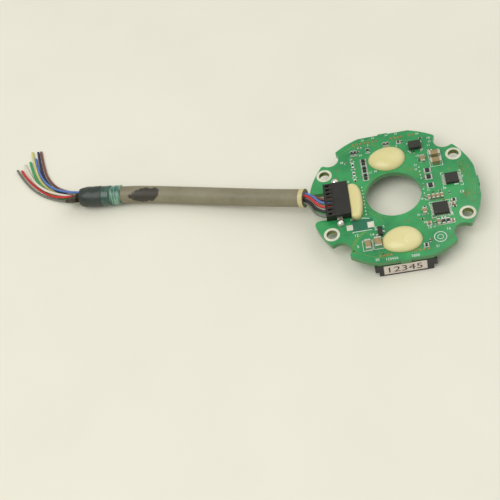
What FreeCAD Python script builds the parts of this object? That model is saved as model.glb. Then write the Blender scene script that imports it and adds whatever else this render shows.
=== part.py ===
import FreeCAD, Part
import math
import os

# Round encoder board of a servo motor with its plug-in cable.
# Millimetres, +Z up. The origin is the centre of the shaft hole on the board's underside.

V = FreeCAD.Vector
UP = V(0, 0, 1)

# ---- bare board ----
BOARD_R = 25.0            # outline radius
BOARD_T = 1.6             # laminate thickness
FLAT_HALF = 5.444         # half length of a milled flat, so the recess ends just past it
FLAT_X = math.sqrt(BOARD_R ** 2 - FLAT_HALF ** 2)   # half width across those flats
FLAT_Y = BOARD_R - 1.2    # half width across the milled flats in Y
TAB_W = 3.0               # width of the broken-off panel tabs
TAB_OUT = 0.4             # how far a tab stands past its flat
SHAFT_HOLE_R = 8.1
SCALLOP_R = 3.0           # the four clearance notches in the rim
SCALLOP_INSET = 0.25      # how far inside the rim's circle their centres lie
SCALLOP_AT = (BOARD_R - SCALLOP_INSET) * math.sin(math.radians(45))
HORN_FILLET = 0.7         # rounding where a notch meets the rim
SCREW_X = 19.49           # half spacing of the screw holes in X
SCREW_Y = 11.25           # half spacing of the screw holes in Y
SCREW_HOLE_R = 1.6
PLATING = 0.05            # copper and tin in the holes and on the lands
LAND_R = 2.35             # ring land round each screw hole

# ---- plug connection ----
CONN_Y = -0.1             # middle of the connector
PITCH = 1.5
WAYS = 8
CONN_HALF = PITCH * (WAYS - 1) / 2 + 0.9   # half the housing's length
HEADER_H = 2.4            # header height above the board
HOOD_FRONT = -17.5        # X of the header's mouth
HOOD_BACK = -13.0         # X of the header's back
HOOD_WALL = 0.35
PLUG_FRONT = -20.3        # X of the plug's wire side, in line with the board's recess
FIT = 0.05                # clearance of the plug in the header, all round
NOSE_L = 3.2              # how far the plug's nose reaches into the header
PIN_W = 0.4               # square header pin
CELL_W = 1.05             # contact cell in the plug
CELL_H = 1.8
RECESS_FAR = 4.7          # Y limits of the recess in the board's edge
RECESS_NEAR = -5.6
RECESS_FILLET = 1.4

# ---- read heads under the board ----
HEAD_W = 17.5
HEAD_DEPTH = 9.5
HEAD_H = 4.8
HEAD_STEP_W = 15.3        # width below the step
HEAD_STEP_H = 2.8         # from the board down to the step
HEAD_X = -0.15
NEAR_LEGS_Y = -17.1       # row of legs of the near head
FAR_LEGS_Y = 14.8
FAR_GLUE_Y = 13.5         # the far blob lies a little inward of the legs it covers
LEGS_FROM_INNER = 2.6     # from a head's inner face to its legs
LEG_R = 0.25
LEG_HOLE_R = 0.4
LEG_PITCH = 1.5
LEGS = 6
LEG_ABOVE = 0.9           # how far the legs stand above the board

# ---- cable ----
WIRE_D = 0.8
JACKET_D = 5.5
JACKET_BORE = 4.2
SHIELD_D = 4.16
SHIELD_BORE = 3.86
LAY_R = 1.45              # radius of the ring that the wires lie in
BAND_L = 1.4
BAND_D = 5.8
TAPE_D = 6.4
SLEEVE_D = 6.8
CABLE_HEADING = 165.0     # general direction of the cable, degrees from +X
PAIR_DZ = 0.42            # height of a paired wire above or below its cell's middle
LEAD_IN = 1.3             # straight stretch of the wires before the jacket's mouth
SLEEVE_ON = 5.6           # length of jacket that the dark sleeve covers
SLEEVE_OFF = 4.9          # how far the sleeve reaches past the jacket
LEAD_OUT = SLEEVE_OFF - 1.0   # the wires run straight to just inside the sleeve's mouth
TAPE_L = 3.5

TOP = BOARD_T
FLOOR = -HEAD_H
CELL_Z = TOP + HEADER_H / 2
GLUE_H = 2.3

NODES = {}


# ---- shape helpers ----
def box(x0, x1, y0, y1, z0, z1):
    return Part.makeBox(x1 - x0, y1 - y0, z1 - z0, V(x0, y0, z0))


def centred(cx, cy, w, d, z0, z1):
    return box(cx - w / 2, cx + w / 2, cy - d / 2, cy + d / 2, z0, z1)


def rod(x, y, r, z0, z1):
    return Part.makeCylinder(r, z1 - z0, V(x, y, z0))


def upright_edges(shape, keep):
    """Straight vertical edges whose midpoint passes the test keep(x, y)."""
    found = []
    for edge in shape.Edges:
        a, b = edge.Vertexes[0].Point, edge.Vertexes[-1].Point
        upright = abs(a.x - b.x) < 1e-6 and abs(a.y - b.y) < 1e-6 and abs(a.z - b.z) > 0.1
        if upright and keep(a.x, a.y):
            found.append(edge)
    return found


def group(shapes):
    return Part.makeCompound(shapes)


def add(name, shape):
    NODES[name] = shape


# ---- board ----
def scallop_centres():
    return [(sx * SCALLOP_AT, sy * SCALLOP_AT) for sx in (-1, 1) for sy in (-1, 1)]


def screw_centres():
    return [(sx * SCREW_X, sy * SCREW_Y) for sx in (-1, 1) for sy in (-1, 1)]


def leg_positions():
    first = -LEG_PITCH * (LEGS - 1) / 2
    rows = (NEAR_LEGS_Y, FAR_LEGS_Y)
    return [(HEAD_X + first + i * LEG_PITCH, y) for y in rows for i in range(LEGS)]


def make_board():
    blank = rod(0, 0, BOARD_R, 0, BOARD_T)
    blank = blank.common(box(-FLAT_X, FLAT_X, -FLAT_Y, FLAT_Y, 0, BOARD_T))
    half = TAB_W / 2
    blank = blank.fuse(box(FLAT_X - 1, FLAT_X + TAB_OUT, -half, half, 0, BOARD_T))
    for side in (-1, 1):
        blank = blank.fuse(centred(0, side * (FLAT_Y - 0.3), TAB_W, 2 * (TAB_OUT + 0.3), 0, BOARD_T))
    for x, y in scallop_centres():
        blank = blank.cut(rod(x, y, SCALLOP_R, -1, BOARD_T + 1))
    blank = blank.cut(box(-BOARD_R - 1, PLUG_FRONT, RECESS_NEAR, RECESS_FAR, -1, BOARD_T + 1))
    blank = blank.removeSplitter()

    def at_horn(x, y):
        gaps = [abs(math.hypot(x - cx, y - cy) - SCALLOP_R) for cx, cy in scallop_centres()]
        return min(gaps) < 1e-3

    blank = blank.makeFillet(HORN_FILLET, upright_edges(blank, at_horn))
    near_corner = upright_edges(blank, lambda x, y: x < PLUG_FRONT - 2 and abs(y - RECESS_NEAR) < 0.1)
    blank = blank.makeFillet(RECESS_FILLET, near_corner)
    blank = blank.cut(rod(0, 0, SHAFT_HOLE_R, -1, BOARD_T + 1))
    for x, y in screw_centres():
        blank = blank.cut(rod(x, y, SCREW_HOLE_R + PLATING, -1, BOARD_T + 1))
    for x, y in leg_positions():
        blank = blank.cut(rod(x, y, LEG_HOLE_R, -1, BOARD_T + 1))
    add("circuit_board", blank)

    rings = []
    for x, y in screw_centres():
        barrel = rod(x, y, SCREW_HOLE_R + PLATING, -PLATING, TOP + PLATING)
        lands = [rod(x, y, LAND_R, TOP, TOP + PLATING), rod(x, y, LAND_R, -PLATING, 0)]
        ring = barrel.fuse(lands).removeSplitter()
        rings.append(ring.cut(rod(x, y, SCREW_HOLE_R, -1, BOARD_T + 1)))
    add("screw_hole_rings", group(rings))

    pads = [centred(-14.1, -9.9, 1.8, 1.9, TOP, TOP + PLATING),
            centred(-8.0, -9.9, 1.9, 2.1, TOP, TOP + PLATING)]
    add("bare_pads", group(pads))


# ---- header on the board ----
def way_y(k):
    """Y of contact way k, counted from the far end."""
    return CONN_Y + PITCH * ((WAYS - 1) / 2 - k)


def make_header():
    y0, y1 = CONN_Y - CONN_HALF, CONN_Y + CONN_HALF
    hood = box(HOOD_FRONT, HOOD_BACK, y0, y1, TOP, TOP + HEADER_H)
    cavity = box(HOOD_FRONT - 1, HOOD_FRONT + NOSE_L + 0.3, y0 + HOOD_WALL, y1 - HOOD_WALL,
                 TOP + HOOD_WALL, TOP + HEADER_H - HOOD_WALL)
    rear_corners = upright_edges(hood, lambda x, y: x > HOOD_BACK - 0.1)
    hood = hood.makeFillet(0.3, rear_corners).cut(cavity)
    pins = []
    foot = 0.25
    for k in range(WAYS):
        y = way_y(k)
        spike = box(HOOD_FRONT + 1.2, HOOD_BACK + PIN_W, y - PIN_W / 2, y + PIN_W / 2,
                    CELL_Z - PIN_W / 2, CELL_Z + PIN_W / 2)
        drop = box(HOOD_BACK, HOOD_BACK + PIN_W, y - PIN_W / 2, y + PIN_W / 2, TOP, CELL_Z)
        tail = box(HOOD_BACK, HOOD_BACK + 1.3, y - PIN_W / 2, y + PIN_W / 2, TOP, TOP + foot)
        pin = spike.fuse([drop, tail]).removeSplitter()
        hood = hood.cut(pin)
        pins.append(pin)
    add("header_housing", hood)
    add("header_pins", group(pins))

    tabs, balls = [], []
    for side in (-1, 1):
        face = CONN_Y + side * CONN_HALF
        ys = sorted((face, face + side * 0.2))
        feet = sorted((face, face + side * 1.3))
        tab = box(-17.3, -15.7, ys[0], ys[1], TOP, TOP + 1.3)
        tab = tab.fuse(box(-17.3, -15.7, feet[0], feet[1], TOP, TOP + 0.2)).removeSplitter()
        ball = Part.makeSphere(1.2, V(-16.5, face + side * 1.65, TOP + 0.35))
        ball = ball.cut(box(-20, -13, face - 4, face + 4, TOP - 3, TOP)).cut(tab)
        tabs.append(tab)
        balls.append(ball)
    add("header_hold_downs", group(tabs))
    add("hold_down_solder", group(balls))

    near, far = CONN_Y - CONN_HALF - 1.35, CONN_Y + CONN_HALF - 0.45
    bead = box(HOOD_BACK, HOOD_BACK + 3.7, near, far, TOP, TOP + 1.9)
    bead = bead.makeFillet(1.7, upright_edges(bead, lambda x, y: x > HOOD_BACK + 1))
    crown = [e for e in bead.Edges if e.BoundBox.ZMin > TOP + 1.8 and e.BoundBox.XMax > HOOD_BACK + 0.1]
    bead = bead.makeFillet(0.8, crown).cut(group(pins))
    add("header_glue", bead)


# ---- surface-mounted parts ----
def chip(cx, cy, length, width, height, end, along_x, z0=TOP):
    """A two-terminal chip part: its body and its two metal ends."""
    def block(a0, a1, w, z1):
        if along_x:
            return box(cx + a0, cx + a1, cy - w / 2, cy + w / 2, z0, z1)
        return box(cx - w / 2, cx + w / 2, cy + a0, cy + a1, z0, z1)

    half = length / 2
    body = block(-half + end, half - end, width - 0.04, z0 + height - 0.03)
    ends = [block(-half, -half + end, width, z0 + height), block(half - end, half, width, z0 + height)]
    return body, ends


def add_chips(body_name, end_name, table, z0=TOP):
    bodies, ends = [], []
    for cx, cy, length, width, height, end, along_x in table:
        body, pair = chip(cx, cy, length, width, height, end, along_x, z0)
        bodies.append(body)
        ends += pair
    add(body_name, group(bodies))
    add(end_name, group(ends))


def package(name, cx, cy, w, d, h, z0=TOP, standoff=0.08):
    body = centred(cx, cy, w, d, z0 + standoff, z0 + h)
    add(name, body.makeChamfer(0.12, [e for e in body.Edges if e.BoundBox.ZMin > z0 + h - 0.01]))


def lead_row(cx, cy, half_body, reach, pitch, count, lead_w, side, z0=TOP, thick=0.15):
    """A row of flat leads on one side of a package: side is 'x+', 'x-', 'y+' or 'y-'."""
    leads = []
    sign = 1 if side[1] == "+" else -1
    for i in range(count):
        at = (i - (count - 1) / 2) * pitch
        a, b = sorted((sign * half_body, sign * (half_body + reach)))
        if side[0] == "x":
            leads.append(box(cx + a, cx + b, cy + at - lead_w / 2, cy + at + lead_w / 2, z0, z0 + thick))
        else:
            leads.append(box(cx + at - lead_w / 2, cx + at + lead_w / 2, cy + a, cy + b, z0, z0 + thick))
    return leads


def make_chips():
    package("controller_chip", 12.4, -8.4, 4.3, 4.1, 0.9)
    leads = []
    for side in ("x+", "x-"):
        leads += lead_row(12.4, -8.4, 2.15, 0.55, 0.5, 8, 0.24, side)
    for side in ("y+", "y-"):
        leads += lead_row(12.4, -8.4, 2.05, 0.55, 0.5, 8, 0.24, side)
    add("controller_leads", group(leads))

    package("driver_chip", 17.35, 1.8, 3.7, 3.7, 1.0)
    leads = lead_row(17.35, 1.8, 1.85, 0.85, 0.5, 8, 0.24, "x+")
    leads += lead_row(17.35, 1.8, 1.85, 0.85, 0.5, 8, 0.24, "x-")
    add("driver_leads", group(leads))

    package("regulator_chip", 8.85, 16.7, 3.7, 2.8, 1.4)
    leads = lead_row(8.85, 16.7, 1.4, 0.8, 3.2, 2, 0.5, "y-", thick=0.4)
    leads += lead_row(8.85, 16.7, 1.4, 0.8, 1.5, 3, 0.5, "y+", thick=0.4)
    add("regulator_leads", group(leads))

    package("transistor_body", -5.7, -13.1, 1.3, 2.9, 1.0)
    leads = lead_row(-5.7, -13.1, 0.65, 0.5, 1.9, 2, 0.45, "x-", thick=0.3)
    leads += lead_row(-5.7, -13.1, 0.65, 0.5, 1.9, 1, 0.45, "x+", thick=0.3)
    add("transistor_leads", group(leads))

    # centre x, centre y, length, width, height, metal end, lies along X
    large = [(14.0, 12.1, 3.2, 1.7, 1.4, 0.5, True), (14.0, 9.15, 3.2, 1.7, 1.4, 0.5, True),
             (-9.7, -17.1, 3.2, 1.6, 1.0, 0.5, False), (-6.8, -17.1, 3.2, 2.0, 1.4, 0.5, False)]
    add_chips("large_capacitors", "large_capacitor_ends", large)

    small = [(10.35, 11.1, 2.4, 1.3, 0.9, 0.4, False), (7.8, -8.5, 1.9, 1.2, 0.8, 0.35, False)]
    small += [(x, -3.8, 1.6, 0.8, 0.7, 0.35, False) for x in (9.8, 11.1, 12.3, 13.5)]
    small += [(16.0, -7.5, 1.3, 0.8, 0.6, 0.3, True), (14.9, -13.3, 1.2, 0.8, 0.6, 0.3, True),
              (11.0, -13.1, 1.9, 0.9, 0.7, 0.35, False), (8.3, -12.9, 1.4, 0.8, 0.6, 0.3, True)]
    add_chips("small_capacitors", "small_capacitor_ends", small)

    resistors = [(10.95, y, 2.0, 1.25, 0.5, 0.35, True) for y in (6.5, 4.0, 0.7)]
    resistors += [(-7.2, y, 1.7, 0.8, 0.45, 0.3, True) for y in (14.5, 13.2, 11.6, 10.3, 8.7, 7.4)]
    resistors += [(-10.2, 18.1, 1.9, 0.7, 0.45, 0.35, False), (-9.2, 18.1, 1.9, 0.7, 0.45, 0.35, False)]
    resistors += [(0.0, 19.4, 1.6, 0.7, 0.45, 0.35, False), (1.0, 19.4, 1.6, 0.7, 0.45, 0.35, False)]
    resistors += [(-5.3, 18.2, 1.6, 0.8, 0.45, 0.3, False), (4.3, 19.6, 1.2, 0.7, 0.45, 0.3, True),
                  (16.5, -6.0, 1.4, 0.7, 0.45, 0.3, True), (12.4, -13.1, 1.8, 0.9, 0.5, 0.35, False),
                  (13.7, -13.1, 1.8, 0.9, 0.5, 0.35, False), (6.3, -20.2, 1.3, 0.8, 0.5, 0.3, True)]
    add_chips("resistors", "resistor_ends", resistors)


def make_underside_parts():
    under = TOP - BOARD_T
    body = centred(14.0, 1.5, 3.9, 4.9, under - 1.5, under - 0.1)
    add("memory_chip", body)
    leads = []
    for side in ("x+", "x-"):
        leads += lead_row(14.0, 1.5, 1.95, 0.9, 1.27, 4, 0.4, side, z0=under - 0.25, thick=0.25)
    add("memory_chip_leads", group(leads))
    table = [(x, -4.0, 1.6, 0.8, 0.7, 0.35, False) for x in (12.0, 14.0, 16.0)]
    table += [(-11.5, y, 2.0, 1.25, 0.8, 0.4, True) for y in (9.0, -9.0)]
    bodies, ends = [], []
    for row in table:
        body, pair = chip(*row, z0=under - row[4])
        drop = V(0, 0, 0.03)
        body.translate(drop)
        bodies.append(body)
        ends += pair
    add("underside_capacitors", group(bodies))
    add("underside_capacitor_ends", group(ends))


# ---- read heads ----
def make_heads():
    windows, lamps, sensors, legs = [], [], [], []
    for name, legs_y, out in (("near_head_housing", NEAR_LEGS_Y, -1), ("far_head_housing", FAR_LEGS_Y, 1)):
        inner = legs_y - out * LEGS_FROM_INNER
        outer = inner + out * HEAD_DEPTH
        y0, y1 = sorted((inner, outer))
        upper = box(HEAD_X - HEAD_W / 2, HEAD_X + HEAD_W / 2, y0, y1, -HEAD_STEP_H, 0)
        lower = box(HEAD_X - HEAD_STEP_W / 2, HEAD_X + HEAD_STEP_W / 2, y0, y1, FLOOR, 0)
        housing = upper.fuse(lower).removeSplitter()
        lens_y = legs_y + out * 3.1
        seat = centred(HEAD_X, lens_y, 9.0, 4.2, FLOOR - 1, FLOOR + 0.9)
        pocket = centred(HEAD_X, lens_y, 7.4, 3.0, FLOOR, FLOOR + 3.2)
        housing = housing.cut(seat).cut(pocket)
        windows.append(centred(HEAD_X, lens_y, 9.0, 4.2, FLOOR + 0.15, FLOOR + 0.9))
        ceiling = FLOOR + 3.2
        lamp = rod(HEAD_X - 2.0, lens_y, 0.9, ceiling - 1.0, ceiling)
        bulb = Part.makeSphere(0.9, V(HEAD_X - 2.0, lens_y, ceiling - 1.0))
        lamps.append(lamp.fuse(bulb).removeSplitter())
        sensors.append(centred(HEAD_X + 1.4, lens_y, 3.2, 2.0, ceiling - 0.5, ceiling))
        for x, y in leg_positions():
            if y == legs_y:
                leg = rod(x, y, LEG_R, -1.5, TOP + LEG_ABOVE)
                housing = housing.cut(leg)
                legs.append(leg)
        add(name, housing)
    add("head_windows", group(windows))
    add("head_lamps", group(lamps))
    add("head_sensor_chips", group(sensors))
    add("head_legs", group(legs))

    near_front = NEAR_LEGS_Y + LEGS_FROM_INNER - HEAD_DEPTH
    add("head_label", box(-6.45, 5.7, near_front - 0.12, near_front, -4.0, -0.15))


def glue_dome(cx, cy, half_x, half_y):
    """A dome of cured glue on the board, cut round what it covers."""
    ball = Part.makeSphere(1.0)
    scale = FreeCAD.Matrix()
    scale.scale(half_x, half_y, GLUE_H)
    dome = ball.transformGeometry(scale)
    dome.translate(V(cx, cy, TOP))
    return dome.common(centred(cx, cy, 3 * half_x, 3 * half_y, TOP, TOP + 2 * GLUE_H))


def make_glue():
    covered = ["head_legs", "large_capacitors", "large_capacitor_ends", "resistors", "resistor_ends",
               "transistor_body", "transistor_leads"]
    for name, cx, cy, half_x, half_y in (("near_glue_blob", 0.0, NEAR_LEGS_Y, 5.9, 4.5),
                                             ("far_glue_blob", 0.0, FAR_GLUE_Y, 5.7, 4.6)):
        dome = glue_dome(cx, cy, half_x, half_y)
        for other in covered:
            dome = dome.cut(NODES[other])
        add(name, dome.Solids[0])


# ---- cable ----
def heading_frame():
    a = math.radians(CABLE_HEADING)
    along = V(math.cos(a), math.sin(a), 0)
    return along, V(along.y, -along.x, 0)


# jacket route, from the mouth near the plug to the end in the dark sleeve
JACKET_ROUTE = [(-26.0, 3.8, 1.85), (-30.5, 5.4, 1.15), (-38.0, 8.05, 0.05), (-50.5, 12.4, -1.25),
                (-64.0, 16.5, -1.95), (-74.5, 19.3, -2.05), (-83.0, 20.7, -1.4), (-94.0, 22.2, -1.4)]

# each wire: place in the ring (degrees, None in the middle), way in the plug,
# layer in that way's cell, X where it turns towards the cable, and its fanned free end
ON_FLOOR = FLOOR + WIRE_D / 2
ON_WIRES = ON_FLOOR + 0.95
WIRES = {
    "brown": (0, 3, 1, -20.85, [(-106.8, 29.6, ON_FLOOR), (-111.6, 34.2, ON_FLOOR),
                                (-114.6, 41.0, ON_FLOOR), (-116.5, 49.8, ON_FLOOR)]),
    "navy": (-45, 3, -1, -20.85, [(-107.0, 28.3, ON_FLOOR), (-112.0, 33.1, ON_FLOOR),
                                  (-115.6, 40.0, ON_FLOOR), (-117.6, 49.9, ON_FLOOR)]),
    "blue": (45, 4, 1, -21.2, [(-106.8, 28.7, ON_WIRES), (-112.2, 32.4, ON_WIRES),
                               (-116.5, 39.9, ON_FLOOR), (-118.2, 46.9, ON_FLOOR)]),
    "yellow": (-90, 4, -1, -21.2, [(-107.3, 27.4, ON_FLOOR), (-112.6, 32.0, ON_FLOOR),
                                   (-117.2, 38.9, ON_FLOOR), (-119.8, 50.3, ON_FLOOR)]),
    "red": (90, 5, 1, -21.6, [(-107.8, 26.1, ON_WIRES), (-114.0, 30.5, ON_FLOOR),
                              (-120.3, 37.6, ON_FLOOR), (-122.8, 42.4, ON_FLOOR)]),
    "white": (None, 5, -1, -21.6, [(-107.3, 27.3, ON_WIRES), (-113.6, 30.9, ON_WIRES + 0.1),
                                   (-119.1, 38.0, ON_FLOOR), (-122.0, 45.0, ON_FLOOR)]),
    "black": (135, 6, 1, -22.3, []),
    "green": (-135, 6, -1, -21.9, [(-107.6, 26.5, ON_FLOOR), (-113.3, 31.2, ON_FLOOR),
                                   (-117.9, 38.0, ON_FLOOR), (-120.1, 45.8, ON_FLOOR)]),
    "grey": (180, 7, 0, -22.8, [(-107.9, 25.6, ON_FLOOR), (-114.8, 29.5, ON_FLOOR),
                                (-121.1, 36.6, ON_FLOOR), (-124.5, 43.0, ON_FLOOR)]),
}


def end_frame():
    """Last point of the jacket and its direction there."""
    last, before = V(*JACKET_ROUTE[-1]), V(*JACKET_ROUTE[-2])
    return last, (last - before).normalize()


def wire_route(name):
    place, way, layer, turn_x, fan = WIRES[name]
    side = heading_frame()[1]
    shift = V(0, 0, 0)
    if place is not None:
        a = math.radians(place)
        shift = (side * math.cos(a) + UP * math.sin(a)) * LAY_R
    y, z = way_y(way), CELL_Z + PAIR_DZ * layer
    mouth, second = V(*JACKET_ROUTE[0]), V(*JACKET_ROUTE[1])
    lead_in = mouth + (mouth - second).normalize() * LEAD_IN
    route = [V(PLUG_FRONT + 1.7, y, z), V(turn_x, y, z), lead_in + shift]
    route += [V(*p) + shift for p in JACKET_ROUTE[1:-1]]
    end, along = end_frame()
    if fan:
        end = end + along * LEAD_OUT
    return route + [end + shift] + [V(*p) for p in fan]


def rounded_path(points, label=None):
    """Straight runs joined by tangent arcs, each as large as its two runs allow."""
    edges, radii = [], []
    start = points[0]
    for before, here, after in zip(points, points[1:], points[2:]):
        a, b = here - before, after - here
        turn = a.getAngle(b)
        back = 0.45 * min(a.Length, b.Length)
        radius = back / math.tan(turn / 2)
        u, w = a.normalize(), b.normalize()
        first, last = here - u * back, here + w * back
        inward = (w - u).normalize()
        middle = here + inward * (radius / math.cos(turn / 2) - radius)
        edges.append(Part.LineSegment(start, first).toShape())
        edges.append(Part.Arc(first, middle, last).toShape())
        start = last
        radii.append(radius)
    edges.append(Part.LineSegment(start, points[-1]).toShape())
    if label:
        print(label, "bend radii", [round(r, 1) for r in radii])
    return Part.Wire(edges)


def tube(path, diameter):
    start = path.Vertexes[0].Point
    first = path.Edges[0]
    along = first.tangentAt(first.FirstParameter)
    section = Part.Wire(Part.makeCircle(diameter / 2, start, along))
    return path.makePipeShell([section], True, False)


def check_volume(name, solid, path, diameter, bore=0.0):
    expected = math.pi / 4 * (diameter ** 2 - bore ** 2) * path.Length
    print(name, "length %.1f" % path.Length, "volume ratio %.4f" % (solid.Volume / expected))


def round_piece(profile, origin, along):
    """Solid of revolution: profile is a list of (distance along, radius)."""
    side = along.cross(V(0, 1, 0)).normalize()
    points = [origin + along * s + side * r for s, r in profile]
    face = Part.Face(Part.makePolygon(points + points[:1]))
    return face.revolve(origin, along, 360)


def make_cable():
    jacket_path = rounded_path([V(*p) for p in JACKET_ROUTE], "cable_jacket")
    jacket = tube(jacket_path, JACKET_D).cut(tube(jacket_path, JACKET_BORE))
    check_volume("cable_jacket", jacket, jacket_path, JACKET_D, JACKET_BORE)
    add("cable_jacket", jacket)

    shield_route = [V(*p) for p in JACKET_ROUTE]
    shield_route[0] = shield_route[0] + (shield_route[1] - shield_route[0]) * 0.5
    shield_path = rounded_path(shield_route)
    add("cable_shield", tube(shield_path, SHIELD_D).cut(tube(shield_path, SHIELD_BORE)))

    for name in WIRES:
        path = rounded_path(wire_route(name), "wire_" + name)
        wire = tube(path, WIRE_D)
        check_volume("wire_" + name, wire, path, WIRE_D)
        add("wire_" + name, wire)

    mouth, second = V(*JACKET_ROUTE[0]), V(*JACKET_ROUTE[1])
    along = (second - mouth).normalize()
    skin = tube(jacket_path, JACKET_D)
    band = [(0, 0), (0, BAND_D / 2), (BAND_L, BAND_D / 2), (BAND_L, 0)]
    add("jacket_end_band", round_piece(band, mouth, along).cut(skin))

    end, along = end_frame()
    bore = JACKET_D / 2
    sleeve = [(-SLEEVE_ON, 0), (-SLEEVE_ON, SLEEVE_D / 2 - 0.1), (-SLEEVE_ON + 0.4, SLEEVE_D / 2),
              (SLEEVE_OFF - 2.2, SLEEVE_D / 2), (SLEEVE_OFF, bore + 0.25), (SLEEVE_OFF, bore),
              (0, bore), (0, 0)]
    add("dark_sleeve", round_piece(sleeve, end, along).cut(skin))
    tape = [(-SLEEVE_ON - TAPE_L, 0), (-SLEEVE_ON - TAPE_L, TAPE_D / 2), (-SLEEVE_ON, TAPE_D / 2),
            (-SLEEVE_ON, 0)]
    add("green_tape", round_piece(tape, end, along).cut(skin))

    side = heading_frame()[1]
    root = end + along * SLEEVE_OFF - side * 2.2 - UP * 0.7
    tip = root + along * 4.8 - side * 0.3
    tip.z = FLOOR + 0.35
    axis = tip - root
    tail = Part.makeCone(0.3, 0.7, axis.Length * 0.55, root, axis)
    tail = tail.fuse(Part.makeCone(0.7, 0.3, axis.Length * 0.45, root + axis * 0.55, axis))
    add("shield_tail", tail.removeSplitter())


# ---- plug on the cable ----
def make_plug():
    y0, y1 = CONN_Y - CONN_HALF, CONN_Y + CONN_HALF
    body = box(PLUG_FRONT, HOOD_FRONT - FIT, y0, y1, TOP + FIT, TOP + HEADER_H - FIT)
    wire_side = [e for e in body.Edges if e.BoundBox.XMax < PLUG_FRONT + 0.01 and e.BoundBox.ZMin > TOP + 1]
    body = body.makeChamfer(0.25, wire_side)
    inset = HOOD_WALL + FIT
    nose = box(HOOD_FRONT - FIT, HOOD_FRONT + NOSE_L, y0 + inset, y1 - inset,
               TOP + inset, TOP + HEADER_H - inset)
    plug = body.fuse(nose).removeSplitter()
    nose_cell_h = 1.2
    terminals = []
    for k in range(WAYS):
        y = way_y(k)
        rear = box(PLUG_FRONT - 1, HOOD_FRONT - 0.3, y - CELL_W / 2, y + CELL_W / 2,
                   CELL_Z - CELL_H / 2, CELL_Z + CELL_H / 2)
        front = box(HOOD_FRONT - 1, HOOD_FRONT + NOSE_L + 1, y - CELL_W / 2, y + CELL_W / 2,
                    CELL_Z - nose_cell_h / 2, CELL_Z + nose_cell_h / 2)
        window = box(PLUG_FRONT + 0.7, HOOD_FRONT - 0.35, y - 0.33, y + 0.33, CELL_Z, TOP + HEADER_H + 1)
        plug = plug.cut(rear).cut(front).cut(window)
        shell = box(PLUG_FRONT + 1.75, HOOD_FRONT + NOSE_L - 0.2, y - CELL_W / 2, y + CELL_W / 2,
                    CELL_Z - nose_cell_h / 2, CELL_Z + nose_cell_h / 2)
        gap = PIN_W / 2 + FIT
        socket = box(HOOD_FRONT - 0.2, HOOD_FRONT + NOSE_L + 1, y - gap, y + gap, CELL_Z - gap, CELL_Z + gap)
        terminals.append(shell.cut(socket))
    add("plug_housing", plug)
    add("plug_terminals", group(terminals))


make_board()
make_header()
make_chips()
make_underside_parts()
make_heads()
make_glue()
make_cable()
make_plug()

os.makedirs("parts", exist_ok=True)
for node, shape in NODES.items():
    shape.exportStep("parts/%s.step" % node)
print(len(NODES), "nodes")
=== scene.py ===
import math
import random

import bmesh
import bpy
from mathutils import Matrix, Vector, noise


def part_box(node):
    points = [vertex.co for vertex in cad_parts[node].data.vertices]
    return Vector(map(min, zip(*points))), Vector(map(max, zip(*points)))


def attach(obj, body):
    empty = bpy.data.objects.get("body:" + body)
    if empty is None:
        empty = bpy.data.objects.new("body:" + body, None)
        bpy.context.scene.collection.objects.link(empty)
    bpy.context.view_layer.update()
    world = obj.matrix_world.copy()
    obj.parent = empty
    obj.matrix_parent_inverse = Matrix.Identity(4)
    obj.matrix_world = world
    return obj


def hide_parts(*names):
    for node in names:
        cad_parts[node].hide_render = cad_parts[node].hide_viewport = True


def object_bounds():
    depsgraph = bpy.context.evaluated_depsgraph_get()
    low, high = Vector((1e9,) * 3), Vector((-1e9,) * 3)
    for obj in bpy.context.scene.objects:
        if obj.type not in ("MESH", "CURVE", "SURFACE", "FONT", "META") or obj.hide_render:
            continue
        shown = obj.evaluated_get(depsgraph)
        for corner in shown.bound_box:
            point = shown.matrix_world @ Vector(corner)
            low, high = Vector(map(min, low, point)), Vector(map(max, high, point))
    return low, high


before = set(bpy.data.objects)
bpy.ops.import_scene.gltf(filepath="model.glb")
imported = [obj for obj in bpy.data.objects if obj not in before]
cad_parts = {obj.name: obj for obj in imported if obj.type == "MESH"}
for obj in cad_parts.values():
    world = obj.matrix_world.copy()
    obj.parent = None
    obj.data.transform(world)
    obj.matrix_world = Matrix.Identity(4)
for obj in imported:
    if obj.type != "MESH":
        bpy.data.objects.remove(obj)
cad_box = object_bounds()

UP = Vector((0, 0, 1))

# ---- camera ----
# A long lens looks down from the near side, rolled so that the cable lies level.
AZIMUTH, ELEVATION, ROLL = 0.22363, 0.91641, -0.34342
AIM = Vector((-0.0438, -0.0118, 0.0016))
DISTANCE = 0.2636
LENS_MM = 64.8
SENSOR_MM = 36

back = Vector((math.sin(AZIMUTH) * math.cos(ELEVATION), -math.cos(AZIMUTH) * math.cos(ELEVATION),
               math.sin(ELEVATION)))
level = Vector((math.cos(AZIMUTH), math.sin(AZIMUTH), 0))
upward = back.cross(level)
right = level * math.cos(ROLL) + upward * math.sin(ROLL)
upward = upward * math.cos(ROLL) - level * math.sin(ROLL)
camera = bpy.data.objects.new("camera", bpy.data.cameras.new("camera"))
camera.data.lens = LENS_MM
camera.data.sensor_width = SENSOR_MM
camera.data.clip_start = 0.01
aimed = Matrix((right, upward, back)).transposed().to_4x4()
camera.matrix_world = Matrix.Translation(AIM + back * DISTANCE) @ aimed
bpy.context.collection.objects.link(camera)
bpy.context.scene.camera = camera


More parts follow.
